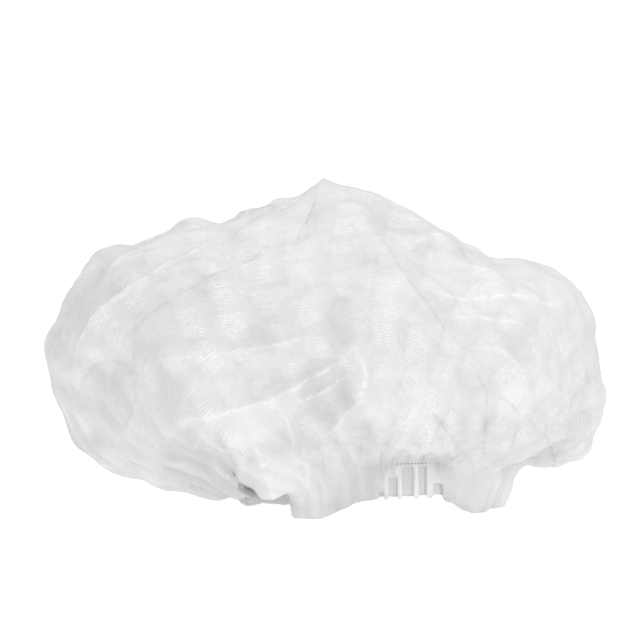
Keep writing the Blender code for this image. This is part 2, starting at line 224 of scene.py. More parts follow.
# The window at the front of the hem, as slots between gathered strands: each side's place across, and how
# high it reaches over the height at which all slots start. Above a slot a narrow slit is left.
Slot = namedtuple("Slot", "left right height")
SLOTS = [
    Slot(23.6, 25.8, 2.6),
    Slot(27.9, 31.9, 9.6),
    Slot(33.9, 39.1, 14.4),
    Slot(41.4, 44.9, 14.4),
    Slot(47.8, 52.0, 6.4),
]
SLOT_FLOOR = 9.5
SLIT_WIDTH = 0.4
STRANDS_OUT = 1.6
# How many columns of the grid make a slot and a strand, how many beside the window go over to even ones, and
# the heights between which they do so above it
GAP_COLUMNS = 2
STRAND_COLUMNS = 20
SLOT_STEP = STRAND_COLUMNS + GAP_COLUMNS
WARP_MARGIN = 28
WARP_FADES = (24.0, 60.0)


def column_numbers():
    """The number of each column, counted from the left side of the first slot: below zero on its left."""
    return (np.arange(COLUMNS) + COLUMNS // 2) % COLUMNS - COLUMNS // 2


def window_angles(places):
    """The angle of every point of the grid, and how high each row lies at the window.

    Near the window the columns run along the sides of the slots. A slot is as wide as its table says up to
    its round arch, where it closes to a narrow slit, and higher up the columns go over to even ones.
    """
    middle_angle = np.full((len(places), 1), radians(LIFTS[0].middle))
    height = cap_form(middle_angle, places)[0][:, 0, 2]
    start = 2 * pi - np.arccos((SLOTS[0].left - BAND_X) / (BAND_HALF_WIDTH + STRANDS_OUT))
    free = start + np.arange(COLUMNS) * 2 * pi / COLUMNS
    knots = [-WARP_MARGIN]
    targets = [np.zeros(len(places))]
    read = smooth_between(LIFTED, places)
    wide = read[:, 2] - read[:, 0]
    for k, slot in enumerate(SLOTS):
        middle, half = (slot.left + slot.right) / 2, (slot.right - slot.left) / 2
        spring = SLOT_FLOOR + slot.height - half
        up = np.clip((height - spring) / half, 0, 1)
        gap = np.maximum(half * np.sqrt(1 - up**2), SLIT_WIDTH / 2)
        for side, column in ((-1, k * SLOT_STEP), (1, k * SLOT_STEP + GAP_COLUMNS)):
            at = 2 * pi - np.arccos(np.clip((middle + side * gap - read[:, 0]) / wide, -1, 1))
            knots.append(column)
            targets.append(at - (start + column * 2 * pi / COLUMNS))
    knots.append((len(SLOTS) - 1) * SLOT_STEP + GAP_COLUMNS + WARP_MARGIN)
    targets.append(np.zeros(len(places)))
    hats = np.array([np.interp(column_numbers(), knots, row) for row in np.eye(len(knots))])
    fade = 1 - ease((height - WARP_FADES[0]) / (WARP_FADES[1] - WARP_FADES[0]))
    return free + fade[:, None] * (np.array(targets).T @ hats), height


# Folds as they look from straight ahead and a little above, then from behind: a curve through three places
# (across, up), the distance over which the fold runs out to its sides, its height (below zero for a valley),
# its kind and the tone of the line along it (1 for a bright line, -1 for a dark one). A bright line is a
# painted highlight together with some whitening of the cloth along the fold, and a dark one is painted
# shade.
# A crest is sharp, a bell is round, and a step stands high on the left of its way and drops off on the
# right.
SIGHT_TILT = radians(5)
Fold = namedtuple("Fold", "name start middle end reach height kind line")
FRONT_FOLDS = [
    Fold("crease_below_peak", (-4, 141), (-8, 131), (-15, 120), 5, -3.1, "bell", -0.9),
    Fold("ridge_beside_it", (-1, 145), (2, 134), (0, 118), 6, 2.2, "bell", 0.0),
    Fold("long_left_edge", (-20, 118), (-57, 97), (-88, 75), 12, 3.0, "step", -0.45),
    Fold("outer_left_edge", (-44, 122), (-86, 98), (-112, 66), 13, 3.4, "step", 1.0),
    Fold("strip_behind", (-48, 130), (-94, 107), (-120, 76), 7, -3.4, "bell", 0.0),
    Fold("long_right_edge", (13, 132), (38, 96), (61, 71), 6, 2.4, "crest", -0.6),
    Fold("right_valley", (33, 124), (62, 97), (86, 84), 9, -3.0, "bell", 0.0),
    Fold("right_cross_fold", (46, 95), (76, 95), (107, 90), 6, 1.8, "crest", 1.0),
    Fold("right_second_fold", (57, 86), (72, 86), (90, 81), 5, 1.4, "crest", 0.9),
    Fold("right_low_cross_fold", (61, 71), (76, 71), (84, 62), 6, 2.2, "crest", 0.8),
    Fold("middle_hollow", (7, 101), (6, 86), (5, 72), 13, -4.6, "bell", 0.0),
    Fold("dark_hollow", (-8, 56), (2, 50), (6, 40), 16, -7.0, "bell", 0.0),
    Fold("bright_left_curve", (5, 65), (-20, 50), (-64, 42), 6, 3.2, "crest", 1.0),
    Fold("bright_upper_curve", (-2, 78), (-40, 70), (-70, 68), 5, 1.6, "crest", 0.7),
    Fold("diamond_edge", (-14, 47), (-3, 49), (8, 57), 5, 1.6, "crest", 0.9),
    Fold("diamond_top", (10, 71), (17, 63), (15, 48), 5, 2.4, "crest", 0.9),
    Fold("diamond_right", (15, 48), (8, 38), (0, 30), 5, 2.0, "crest", 0.8),
    Fold("left_gather_ridge", (-33, 35), (-24, 20), (-11, 2), 6, 2.8, "crest", 0.7),
    Fold("left_gather_edge", (-47, 37), (-37, 22), (-24, 3), 7, 2.6, "step", -0.7),
    Fold("middle_gather_ridge", (4, 34), (8, 20), (10, 4), 6, 2.2, "crest", 0.5),
    Fold("diamond_left", (-26, 46), (-18, 40), (-14, 24), 6, 2.4, "crest", 0.6),
    Fold("left_foot_first", (-11, 30), (-8, 16), (-10, 1), 4, 1.6, "crest", 0.7),
    Fold("left_foot_second", (-2, 26), (0, 12), (-2, 0), 4, 1.6, "crest", -0.5),
    Fold("left_foot_third", (16, 26), (17, 16), (14, 6), 4, 1.4, "crest", 0.7),
    Fold("right_foot_first", (54, 30), (58, 20), (60, 8), 4, 1.4, "crest", 0.7),
    Fold("right_foot_second", (64, 24), (67, 14), (68, 2), 4, 1.6, "crest", -0.5),
    Fold("right_foot_third", (80, 26), (76, 14), (74, 2), 4, 1.4, "crest", 0.6),
    Fold("leaf_left", (66, 62), (72, 46), (69, 20), 6, -1.2, "crest", -0.6),
    Fold("leaf_right", (74, 51), (84, 42), (79, 24), 5, 2.6, "crest", -0.6),
    Fold("short_dark_left", (46, 44), (53, 36), (58, 28), 4, -1.6, "crest", -0.7),
    Fold("left_oval_top", (-110, 52), (-103, 64), (-88, 62), 5, -2.0, "crest", -0.6),
    Fold("left_oval_side", (-86, 60), (-85, 46), (-94, 32), 5, 2.2, "crest", -0.5),
    Fold("left_oval_hollow", (-100, 60), (-101, 48), (-98, 34), 9, -3.2, "bell", 0.0),
    Fold("left_low_ridge", (-66, 40), (-72, 28), (-72, 14), 6, 2.4, "bell", 0.0),
    Fold("right_lobe_hollow", (98, 44), (103, 34), (104, 22), 9, -3.0, "bell", 0.0),
    Fold("right_lobe_edge", (92, 46), (100, 30), (104, 14), 6, 1.4, "step", -0.4),
    Fold("right_outer_edge", (110, 104), (116, 84), (118, 60), 7, 2.6, "step", -0.6),
]
BACK_FOLDS = [
    Fold("back_seam_ridge", (0, 144), (10, 118), (16, 92), 6, 3.4, "crest", 0.6),
    Fold("back_left_edge", (-10, 140), (-52, 112), (-84, 70), 10, 3.6, "step", -0.7),
    Fold("back_right_edge", (88, 76), (52, 104), (8, 140), 10, 3.6, "step", 0.6),
    Fold("back_right_valley", (34, 122), (66, 84), (70, 50), 8, -4.0, "bell", 0.0),
    Fold("back_left_valley", (-30, 118), (-48, 82), (-46, 44), 9, -4.4, "bell", 0.0),
    Fold("back_cross_fold", (-70, 76), (-30, 66), (14, 70), 6, 3.0, "crest", 1.0),
    Fold("back_hollow", (26, 70), (28, 56), (22, 38), 12, -5.0, "bell", 0.0),
    Fold("back_low_ridge", (-16, 52), (-20, 34), (-14, 18), 7, 3.0, "crest", 0.7),
    Fold("back_outer_ridge", (58, 58), (62, 40), (56, 20), 7, 3.0, "crest", -0.8),
]
# A line's tone is gone at its reach and fades over the last part of it
LINE_REACH = 3.6
LINE_FADE = 2.4
# How wide the steep side of a step is, what share of its reach a crest uses and how round its top is, and
# the part of a fold's length, one in so many, over which its line and a step set in and run out
STEP_WIDTH = 2.6
CREST_SHARE = 0.7
CREST_ROUND = 0.8
FOLD_ENDS = 7
# How fast a surface that turns away from the eye goes out of its sight
TURNS_AWAY = 3


def along_curve(fold, count=11):
    """Points along the curve that runs through a fold's three places."""
    start, middle, end = (np.array(p, float) for p in (fold.start, fold.middle, fold.end))
    pull = 2 * middle - 0.5 * (start + end)
    t = np.linspace(0, 1, count)[:, None]
    return (1 - t) ** 2 * start + 2 * t * (1 - t) * pull + t**2 * end


def distance_to(path, points):
    """How far each point lies from a path of straight steps, below zero on its right, and where along it."""
    nearest, place = np.full(points.shape[:-1], np.inf), np.zeros(points.shape[:-1])
    side = np.ones(points.shape[:-1])
    for k, (a, b) in enumerate(zip(path[:-1], path[1:])):
        along = b - a
        t = np.clip((points - a) @ along / (along @ along), 0, 1)
        offset = points - a - t[..., None] * along
        away = np.linalg.norm(offset, axis=-1)
        closer = away < nearest
        nearest[closer], place[closer] = away[closer], (k + t[closer]) / (len(path) - 1)
        side[closer] = np.sign(along[0] * offset[..., 1] - along[1] * offset[..., 0])[closer]
    return nearest * np.where(side < 0, -1, 1), place


def crest(away, reach, round_top):
    """A ridge that falls away from its line as e to the distance over its reach, its top rounded off."""
    return np.exp((round_top - np.sqrt(away**2 + round_top**2)) / reach)


def step_down(away, reach):
    """High on the left of the line, where it falls off over its reach, and steep on the right."""
    return np.where(away > 0, np.exp(-away / reach), ease(1 + away / STEP_WIDTH))


def mark_line(marks, away, weight):
    """Notes the distance from a line and its tone wherever it is stronger than the lines noted so far."""
    weight = weight * ease((LINE_REACH - np.abs(away)) / LINE_FADE)
    stronger = np.abs(weight) > np.abs(marks[1])
    marks[0][stronger], marks[1][stronger] = away[stronger], weight[stronger]


def in_sight(normal, facing, side_on):
    """1 where the surface faces the front (-1) or the back (1), and less where it turns away."""
    return np.clip(facing * normal[..., 1] * TURNS_AWAY + side_on, 0, 1)


def seen_from_ahead(points, tilt):
    """Where each point is seen, across and up, by an eye that looks down on it by the tilt."""
    return points[..., 0], points[..., 2] * np.cos(tilt) + points[..., 1] * np.sin(tilt)


def fold_relief(points, normal, marks):
    """The height of all main folds at each point, each on the side of the cap that it belongs to."""
    relief = np.zeros(points.shape[:2])
    for folds, facing, tilt in ((FRONT_FOLDS, -1, SIGHT_TILT), (BACK_FOLDS, 1, 0.0)):
        seen = np.stack(seen_from_ahead(points, tilt), axis=-1)
        side = in_sight(normal, facing, side_on=0.8)
        for fold in folds:
            away, place = distance_to(along_curve(fold), seen)
            ends = ease(place * FOLD_ENDS) * ease((1 - place) * FOLD_ENDS)
            shape = {
                "bell": lambda: np.exp(-((away / fold.reach) ** 2)),
                "crest": lambda: crest(away, CREST_SHARE * fold.reach, CREST_ROUND),
                "step": lambda: ends * step_down(away, fold.reach),
            }[fold.kind]()
            relief += side * fold.height * shape
            mark_line(marks, away, side * ends * fold.line)
    return relief


# Painted shade (below zero) and painted light (above), as seen from the front: darker where the eye meets a
# single sheet of cloth before the shaded hollow, brighter where it meets several, and brighter on shaded
# undersides, feet and strands: the middle of each place (across, up), its half width and half height, its
# turn in degrees and its strength
Layer = namedtuple("Layer", "name x up wide high turn strength")
PAINTED_PATCHES = [
    Layer("dark_diamond", 0, 50, 13, 16, 0, -0.7),
    Layer("middle", 6, 84, 8, 15, 0, -0.5),
    Layer("strip_behind", -102, 97, 30, 9, 48, -0.4),
    Layer("left_oval", -99, 48, 10, 17, 0, -0.25),
    Layer("left_corner", -106, 26, 9, 7, -40, -0.7),
    Layer("left_patch", -54, 90, 7, 9, 0, -0.5),
    Layer("upper_left_patch", -30, 76, 9, 7, -20, -0.5),
    Layer("left_low_patch", -68, 56, 8, 9, 10, -0.4),
    Layer("right_patch", 44, 88, 7, 8, 0, -0.4),
    Layer("far_right_patch", 84, 72, 8, 10, 0, -0.5),
    Layer("low_left", -62, 20, 12, 14, 0, -0.7),
    Layer("right_triangle", 102, 19, 9, 5, 0, -0.3),
    Layer("left_bright", -28, 40, 16, 8, 15, 0.9),
    Layer("middle_bright", 34, 48, 18, 9, 0, 0.3),
    Layer("small_bright", 21, 40, 4, 6, 20, 1.0),
    Layer("right_bright", 84, 48, 8, 7, 0, 1.1),
    Layer("right_upper", 84, 100, 30, 12, -12, 0.3),
    Layer("right_lobe", 96, 66, 20, 30, 0, 0.25),
    Layer("window_strands", 38, 12, 15, 9, 0, 2.0),
    Layer("right_foot_side", 82, 8, 8, 14, 0, 1.0),
    Layer("right_foot", 68, 12, 16, 12, 0, 0.9),
    Layer("left_foot", -4, 14, 26, 12, 0, 0.8),
    Layer("left_underside", -62, 12, 22, 10, -20, 0.8),
]
# A place ends at this share of its half width and fades over this share of it
PAINTED_PATCH_EDGE, PAINTED_PATCH_FADE = 1.2, 0.5


def painted_patch_tone(points, normal):
    """How much darker or brighter the cloth is painted: painted shade where a single sheet lies before the
    shaded hollow, painted light where several do and on shaded parts.
    """
    across, up = seen_from_ahead(points, SIGHT_TILT)
    front = in_sight(normal, -1, side_on=0.5)
    tone = np.zeros(points.shape[:2])
    for layer in PAINTED_PATCHES:
        turn = radians(layer.turn)
        x, y = across - layer.x, up - layer.up
        u = (x * np.cos(turn) + y * np.sin(turn)) / layer.wide
        v = (y * np.cos(turn) - x * np.sin(turn)) / layer.high
        tone += front * layer.strength * ease((PAINTED_PATCH_EDGE - np.hypot(u, v)) / PAINTED_PATCH_FADE)
    return tone


# Puffs and notches that break the outline: where they are, their radius and their height
Puff = namedtuple("Puff", "name x y z radius height")
PUFFS = [
    Puff("left_crest_puff", -61, 20, 122, 12, 8.0),
    Puff("left_crest_notch", -78, 10, 118, 10, -5.5),
    Puff("left_shoulder_puff", -104, 14, 115, 17, 4.0),
    Puff("left_upper_notch", -46, 8, 128, 9, -2.5),
    Puff("left_side_notch", -121, 4, 82, 9, -2.5),
    Puff("left_low_puff", -88, -22, 13, 13, 2.5),
    Puff("left_low_notch", -72, -26, 13, 8, -1.5),
    Puff("left_inner_puff", -58, -26, 10, 14, 3.0),
    Puff("over_left_foot", -42, -36, 13, 13, 6.5),
    Puff("over_front_foot", -24, -50, 13, 12, 4.0),
    Puff("left_droop", -36, -50, 14, 19, 8.5),
    Puff("left_droop_end", -23, -53, 12, 11, 5.0),
    Puff("right_saddle", 74, 4, 112, 12, -1.2),
    Puff("right_shoulder_puff", 100, 6, 106, 17, 3.0),
    Puff("right_side_notch", 122, 0, 70, 10, -3.5),
    Puff("right_belly_puff", 125, 0, 52, 13, 2.0),
    Puff("right_low_notch", 122, -8, 32, 8, -2.0),
    Puff("back_puff", -22, 104, 62, 22, 4.0),
    Puff("back_right_puff", 62, 88, 70, 20, 3.5),
    Puff("back_left_notch", -66, 88, 56, 12, -3.5),
]


def puff_relief(points):
    """The height of all puffs and notches at each point: a bell round each one's middle."""
    relief = np.zeros(points.shape[:2])
    for puff in PUFFS:
        away = np.linalg.norm(points - np.array([puff.x, puff.y, puff.z]), axis=-1)
        relief += puff.height * np.exp(-((away / puff.radius) ** 2))
    return relief


# Soft waves of the whole body: how many go round, their depth, their turn and how far they turn to the peak.
# They rise this fast above the hem, and run out as fast below the peak.
Wave = namedtuple("Wave", "count depth turn drift")
WAVES = [Wave(5, 1.6, 0.6, 2.2), Wave(9, 1.3, 2.1, -1.7), Wave(13, 0.9, 4.0, 1.1)]
WAVE_RISE = 5


def wave_relief(angle, share):
    """Soft waves round the body, which fade out at the hem and at the peak."""
    relief = np.zeros(angle.shape)
    for wave in WAVES:
        relief += wave.depth * np.sin(wave.count * angle + wave.turn + wave.drift * share[:, None])
    return relief * np.clip(share * (1 - share) * WAVE_RISE, 0, 1)[:, None]


# Gathers of the hem: their number, and sine waves round the cap, each as its depth, its number and its turn,
# that make the gathers' spacing, length and depth uneven and swell the hem
GATHERS = 44
GATHER_DEPTH = 1.8
GATHER_SPACING = [(0.05, 7, 0.5), (0.024, 17, 1.9)]
GATHER_LENGTH = [(0.5, 11, 0.8), (0.3, 23, 2.6)]
GATHER_SHARE = [(0.4, 5, 2.0)]
HEM_SWELL = [(1.3, 9, 1.0), (0.8, 16, 2.4)]
# What the waves for length and depth start from, and the least length
MEAN_LENGTH, LEAST_LENGTH = 1, 0.3
MEAN_SHARE = 0.6
# How fast a gather of length 1 fades above the hem, and how blunt its wave is
GATHER_FADE = 1.6
GATHER_BLUNT = 0.8
# Each gather wanders sideways on its way up: how far, over how many mm a radian, and how often round the cap
GATHER_WANDER, WANDER_LENGTH, WANDER_COUNT = 0.6, 9, 3

# Tight ruffles of the turned-in edge, which fade out over this distance before the turn
RUFFLES = 150
RUFFLE_DEPTH = 2.9
RUFFLE_FADE = 5


def round_waves(angle, start, waves):
    """A start value with sine waves round the cap added, each of its own depth, count and turn."""
    for depth, count, turn in waves:
        start = start + depth * np.sin(count * angle + turn)
    return start


def gather_relief(angle, pleat, rows):
    """A wave round the hem, uneven in spacing, depth and length, and tight ruffles on the turned-in edge."""
    turn = round_waves(angle, angle, GATHER_SPACING)
    wander = GATHER_WANDER * np.sin(rows[:, None] / WANDER_LENGTH + WANDER_COUNT * angle)
    wave = np.cos(GATHERS * turn + wander)
    length = np.maximum(round_waves(angle, MEAN_LENGTH, GATHER_LENGTH), LEAST_LENGTH)
    depth = GATHER_DEPTH * round_waves(angle, MEAN_SHARE, GATHER_SHARE)
    shown = np.clip(pleat, 0, 1) ** (GATHER_FADE / length)
    ruffle = RUFFLE_DEPTH * np.cos(RUFFLES * angle) * ease((TURN_DOWN - rows[:, None]) / RUFFLE_FADE)
    swell = pleat * round_waves(angle, 0, HEM_SWELL)
    return depth * shown * (np.abs(wave) ** GATHER_BLUNT * np.sign(wave)) + swell + ruffle


# Uneven shares over the flat sheet: how many mm a radian two crossing waves and a slanting wave have along x
# and y, and how strong the slanting one is
CROSSING_X, CROSSING_Y = 37, 31
SLANT_X, SLANT_Y = 19, 25
SLANT_SHARE = 0.7

# Bands of the fan folds and of the folds across them: their distance from crest to crest and their depth.
# They bend with slanting waves over the flat sheet: depth, mm a radian along x and along y, and turn.
Bend = namedtuple("Bend", "depth x_length y_length turn")
FAN_PITCH = 17.0
FAN_DEPTH = 0.62
FAN_BENDS = [Bend(3.4, inf, 41, 0.8), Bend(2.4, 45, 19, 0.0)]
CROSS_PITCH = 20.5
CROSS_DEPTH = 0.5
CROSS_BENDS = [Bend(4.2, 38, inf, 2.0), Bend(2.6, 15, 30, 0.0)]
# How far a cross fold is shifted from one band to the next, and the least share of its depth or gleam that a
# place keeps
CROSS_SHIFT = 0.35
LEAST_SHARE = 0.35
# The tone of the lines along the cross folds, painted highlights, which stay away from lines of more than
# this tone
CROSS_LINE_TONE = 0.9
FREE_OF_LINES = 0.02

# A band gleams on one flank, where it is less rough and a highlight is painted into its colour: across it
# from its valley, the gleam sets in over the first share of its width and is gone at the second, after a
# fade over the third. Each patch draws its own share of the gleam, and ends raggedly before the valleys of
# the cross folds.
GLEAM_RISE, GLEAM_END, GLEAM_FALL = 0.1, 0.76, 0.3
LEAST_GLEAM = 0.45
PATCH_END, PATCH_SLOPE, PATCH_RAGGED = 1.7, 2.4, 1.6
PATCH_SEED = 11
PATCH_TABLE = 64


def zigzag(value):
    """A wave of straight flanks between -1 and 1, once for each whole number."""
    return 4 * np.abs(value - np.floor(value + 0.5)) - 1


def patchy(flat, turn, finer=1.0):
    """A smooth uneven share between 0 and 1 over the sheet: two crossing waves and a slanting one."""
    x, y = flat[..., 0] * finer, flat[..., 1] * finer
    crossing = np.sin(x / CROSSING_X + 1.2 + turn) * np.sin(y / CROSSING_Y + 0.3)
    slanting = SLANT_SHARE * np.sin(x / SLANT_X - y / SLANT_Y + 2 * turn)
    return np.clip(0.5 + 0.45 * (crossing + slanting), 0, 1)


def bent(x, y, straight, bends):
    """A straight measure over the flat sheet with slanting sine waves added to it."""
    for bend in bends:
        straight = straight + bend.depth * np.sin(x / bend.x_length + y / bend.y_length + bend.turn)
    return straight


def fan_relief(flat, calm, marks):
    """The bands that the fan folds left, which cross each other, and how much each place gleams.

    The height is two waves of straight flanks. Bright lines, painted highlights, lie along the crests of the
    cross
    folds, and one side of each band was pressed smooth in the pack, so it gleams, each patch by its own
    share:
    it is less rough there, and a highlight is painted into its colour.
    """
    x, y = flat[..., 0], flat[..., 1]
    across = bent(x, y, x, FAN_BENDS) / FAN_PITCH
    row = bent(x, y, y, CROSS_BENDS) / CROSS_PITCH + CROSS_SHIFT * np.floor(across)
    bands, cross = zigzag(across), zigzag(row)
    # Where the bands are faint, the cross folds are deep
    strength = LEAST_SHARE + (1 - LEAST_SHARE) * patchy(flat, 0.0)
    relief = strength * FAN_DEPTH * bands + (1.1 - 0.5 * strength) * CROSS_DEPTH * cross

    # Bright lines along the cross folds, painted highlights, here and there on the crests of the bands
    away = (row - np.floor(row) - 0.5) * CROSS_PITCH
    here = np.clip(patchy(flat, 1.0, finer=2.3) * 2.2 - 1.0, 0, 1) * np.clip(bands * 2, 0, 1)
    mark_line(marks, away, CROSS_LINE_TONE * calm * here * (np.abs(marks[1]) < FREE_OF_LINES))

    # The gleam, with each patch's own share from a table
    table = np.random.default_rng(PATCH_SEED).random((PATCH_TABLE, PATCH_TABLE))
    share = table[np.floor(across).astype(int), np.floor(row).astype(int)]
    uneven = np.clip(1.5 * patchy(flat, 2.0, finer=1.6) - 0.2, LEAST_GLEAM, 1)
    uneven *= LEAST_SHARE + (1 - LEAST_SHARE) * share
    side = across - np.floor(across)
    edge = ease(side / GLEAM_RISE) * ease((GLEAM_END - side) / GLEAM_FALL)
    ragged = PATCH_RAGGED * (patchy(flat, 4.0, finer=3.1) - 0.5)
    gleam = calm * edge * ease(PATCH_END + PATCH_SLOPE * cross + ragged) * uneven
    return calm * relief, gleam


# Small creases: their turns from the level and how often each comes, how far they stray from them, and the
# ranges of half length, of its share that is used, of height and of reach
CREASES = 380
CREASE_SEED = 5
CREASE_TURNS = [0, pi / 2, 0.6, -0.6]
CREASE_ODDS = [0.35, 0.3, 0.2, 0.15]
CREASE_STRAY = 0.25
CREASE_HALF_LENGTH = (5, 20)
CREASE_USED = (0.5, 1)
CREASE_HEIGHT = (0.3, 1.2)
CREASE_REACH = (2.2, 5.5)
# They bend by this share of their half length, their crests are this round, and one has a line of its own
# where no line of more than this tone is near
CREASE_BEND = 0.12
CREASE_ROUND = 0.6
MEETS_LINE = 0.05
# A crease works on points up to this far past its ends, if they face about its way
CREASE_MARGIN = 12
SAME_SIDE = 0.2


def crease_relief(points, normal, marks):
    """Small sharp creases: nearly straight lines at random places on the surface, most level or upright."""
    draw = np.random.default_rng(CREASE_SEED)
    round_it = np.roll(points, -1, axis=1) - points
    area = np.linalg.norm(np.cross(round_it, np.gradient(points, axis=0)), axis=-1)
    area[: LEVELS[0].rows // 2] = 0
    spot = draw.choice(area.size, CREASES, p=area.ravel() / area.sum())
    at, facing = points.reshape(-1, 3)[spot], normal.reshape(-1, 3)[spot]
    down = np.cross(facing, np.cross(facing, [0, 0, 1.0]))
    across = np.cross(facing, down)
    turn = draw.choice(CREASE_TURNS, CREASES, p=CREASE_ODDS) + draw.normal(0, CREASE_STRAY, CREASES)
    heading = across * np.cos(turn)[:, None] + down * np.sin(turn)[:, None]
    beside = np.cross(facing, heading)
    half_length = draw.uniform(*CREASE_HALF_LENGTH, CREASES) * draw.uniform(*CREASE_USED, CREASES)
    height = draw.choice([-1, 1], CREASES) * draw.uniform(*CREASE_HEIGHT, CREASES)
    # A painted highlight, with some whitening of the cloth, where it sticks out, and painted shade half as
    # strong where it turns in
    tone = np.where(height > 0, 1, -0.5) * (0.12 + 0.6 * np.abs(height))
    reach = draw.uniform(*CREASE_REACH, CREASES)
    relief = np.zeros(points.shape[:2])
    for k in range(CREASES):
        near = ((points - at[k]) ** 2).sum(axis=-1) < (half_length[k] + CREASE_MARGIN) ** 2
        near &= normal @ facing[k] > SAME_SIDE
        offset = points[near] - at[k]
        t = offset @ heading[k] / half_length[k]
        bend = CREASE_BEND * half_length[k] * np.sin(2.5 * t + k)
        away = offset @ beside[k] + bend
        fades = np.clip(1 - t**2, 0, 1) ** 2
        relief[near] += height[k] * fades * crest(away, reach[k], CREASE_ROUND)
        # Its line is drawn only where it meets no other line
        local = [marks[0][near], marks[1][near]]
        on_line = (np.abs(away) < LINE_REACH) & (fades > 0.02)
        if np.abs(local[1][on_line]).max(initial=0) <= MEETS_LINE:
            mark_line(local, away, fades * tone[k])
            marks[0][near], marks[1][near] = local
    return relief


# Crumples: the lengths of the waves of straight flanks and their slope, how far they are bent, and over how
# many mm they bend and come and go
CRUMPLE_LENGTHS = [55, 44, 36, 30, 25, 21]
CRUMPLE_SLOPE = 0.027
CRUMPLE_SEED = 8
CRUMPLE_BEND = 0.12
CRUMPLE_BENDS_OVER = 30
CRUMPLE_COMES_OVER = 28


def crumple_relief(points):
    """Flat facets with sharp borders: waves of straight flanks at random turns, laid over each other."""
    draw = np.random.default_rng(CRUMPLE_SEED)
    relief = np.zeros(points.shape[:2])
    for length in CRUMPLE_LENGTHS:
        heading = draw.normal(size=3)
        along = points @ (heading / np.linalg.norm(heading)) / length + draw.uniform()
        bend = np.sin(points @ draw.normal(size=3) / CRUMPLE_BENDS_OVER + draw.uniform(0, 6))
        comes = np.sin(points @ draw.normal(size=3) / CRUMPLE_COMES_OVER + draw.uniform(0, 6))
        flanks = zigzag(along + CRUMPLE_BEND * bend)
        relief += CRUMPLE_SLOPE * length * (0.5 + 0.5 * comes) * flanks
    return relief


# The strands stand proud as ridges, which fade out above a height
STRAND_RIDGE = 0.9
RIDGE_FADES_FROM, RIDGE_FADE = 20, 26
# Over each slot longer than LONG_SLOT the cloth sinks in: how deep, where over the slot's top it starts and
# is deepest, and over how many mm up and columns across it fades
LONG_SLOT = 8
SLIT_DEPTH = 0.7
SLIT_START, SLIT_MIDDLE = -0.5, 1.5
SLIT_LENGTH, SLIT_COLUMNS = 4.0, 2.6


def window_relief(height):
    """The strands stand proud as rounded ridges, and the cloth sinks in above each long slot."""
    number = column_numbers()
    in_window = (number >= -STRAND_COLUMNS) & (number <= len(SLOTS) * SLOT_STEP)
    across = ((number - GAP_COLUMNS) % SLOT_STEP) / STRAND_COLUMNS
    ridge = np.where(in_window & (across <= 1), 1 - (2 * across - 1) ** 2, 0)
    strength = 1 - ease((height - RIDGE_FADES_FROM) / RIDGE_FADE)
    relief = STRAND_RIDGE * ridge * strength[:, None]
    for k, slot in enumerate(SLOTS):
        if slot.height > LONG_SLOT:
            over_top = height - SLOT_FLOOR - slot.height
            up = np.exp(-(((over_top - SLIT_MIDDLE) / SLIT_LENGTH) ** 2)) * (over_top > SLIT_START)
            beside = np.abs(number - k * SLOT_STEP - GAP_COLUMNS / 2) / SLIT_COLUMNS
            relief -= SLIT_DEPTH * up[:, None] * np.exp(-(beside**2))
    return relief


def sheet_places(angle, rows):
    """Where each point lay on the flat round sheet: as far from its middle as its row is from the peak."""
    reach = SHEET_WIDTH / 2 * (1 - rows / rows[-1])[:, None]
    return np.stack([reach * np.cos(angle), reach * np.sin(angle)], axis=-1)


# The gleam sets in above the hem, in mm from the cut edge
GLEAM_FROM, GLEAM_FADE = 48.0, 36.0
# Shade is painted into the valleys of the gathers and bands, and light onto the gathers' crests
GATHER_LIGHT_AND_SHADE = 0.45
BAND_VALLEY_SHADE = 0.24
# Round the peak the folds are calmer: they grow up to this distance from it
CALM_TOP = 30.0
# The body's folds set in from this many sections below the neck, over so many sections
BODY_FROM, BODY_FADE = 1.4, 2.4
# Lines set in over this distance from the peak
LINES_FROM_PEAK = 12
# The gathers stay away from the window: half its width in degrees, and the heights over which they come back
WINDOW_HALF = 24
CLEAR_FROM, CLEAR_FADE = 22, 22


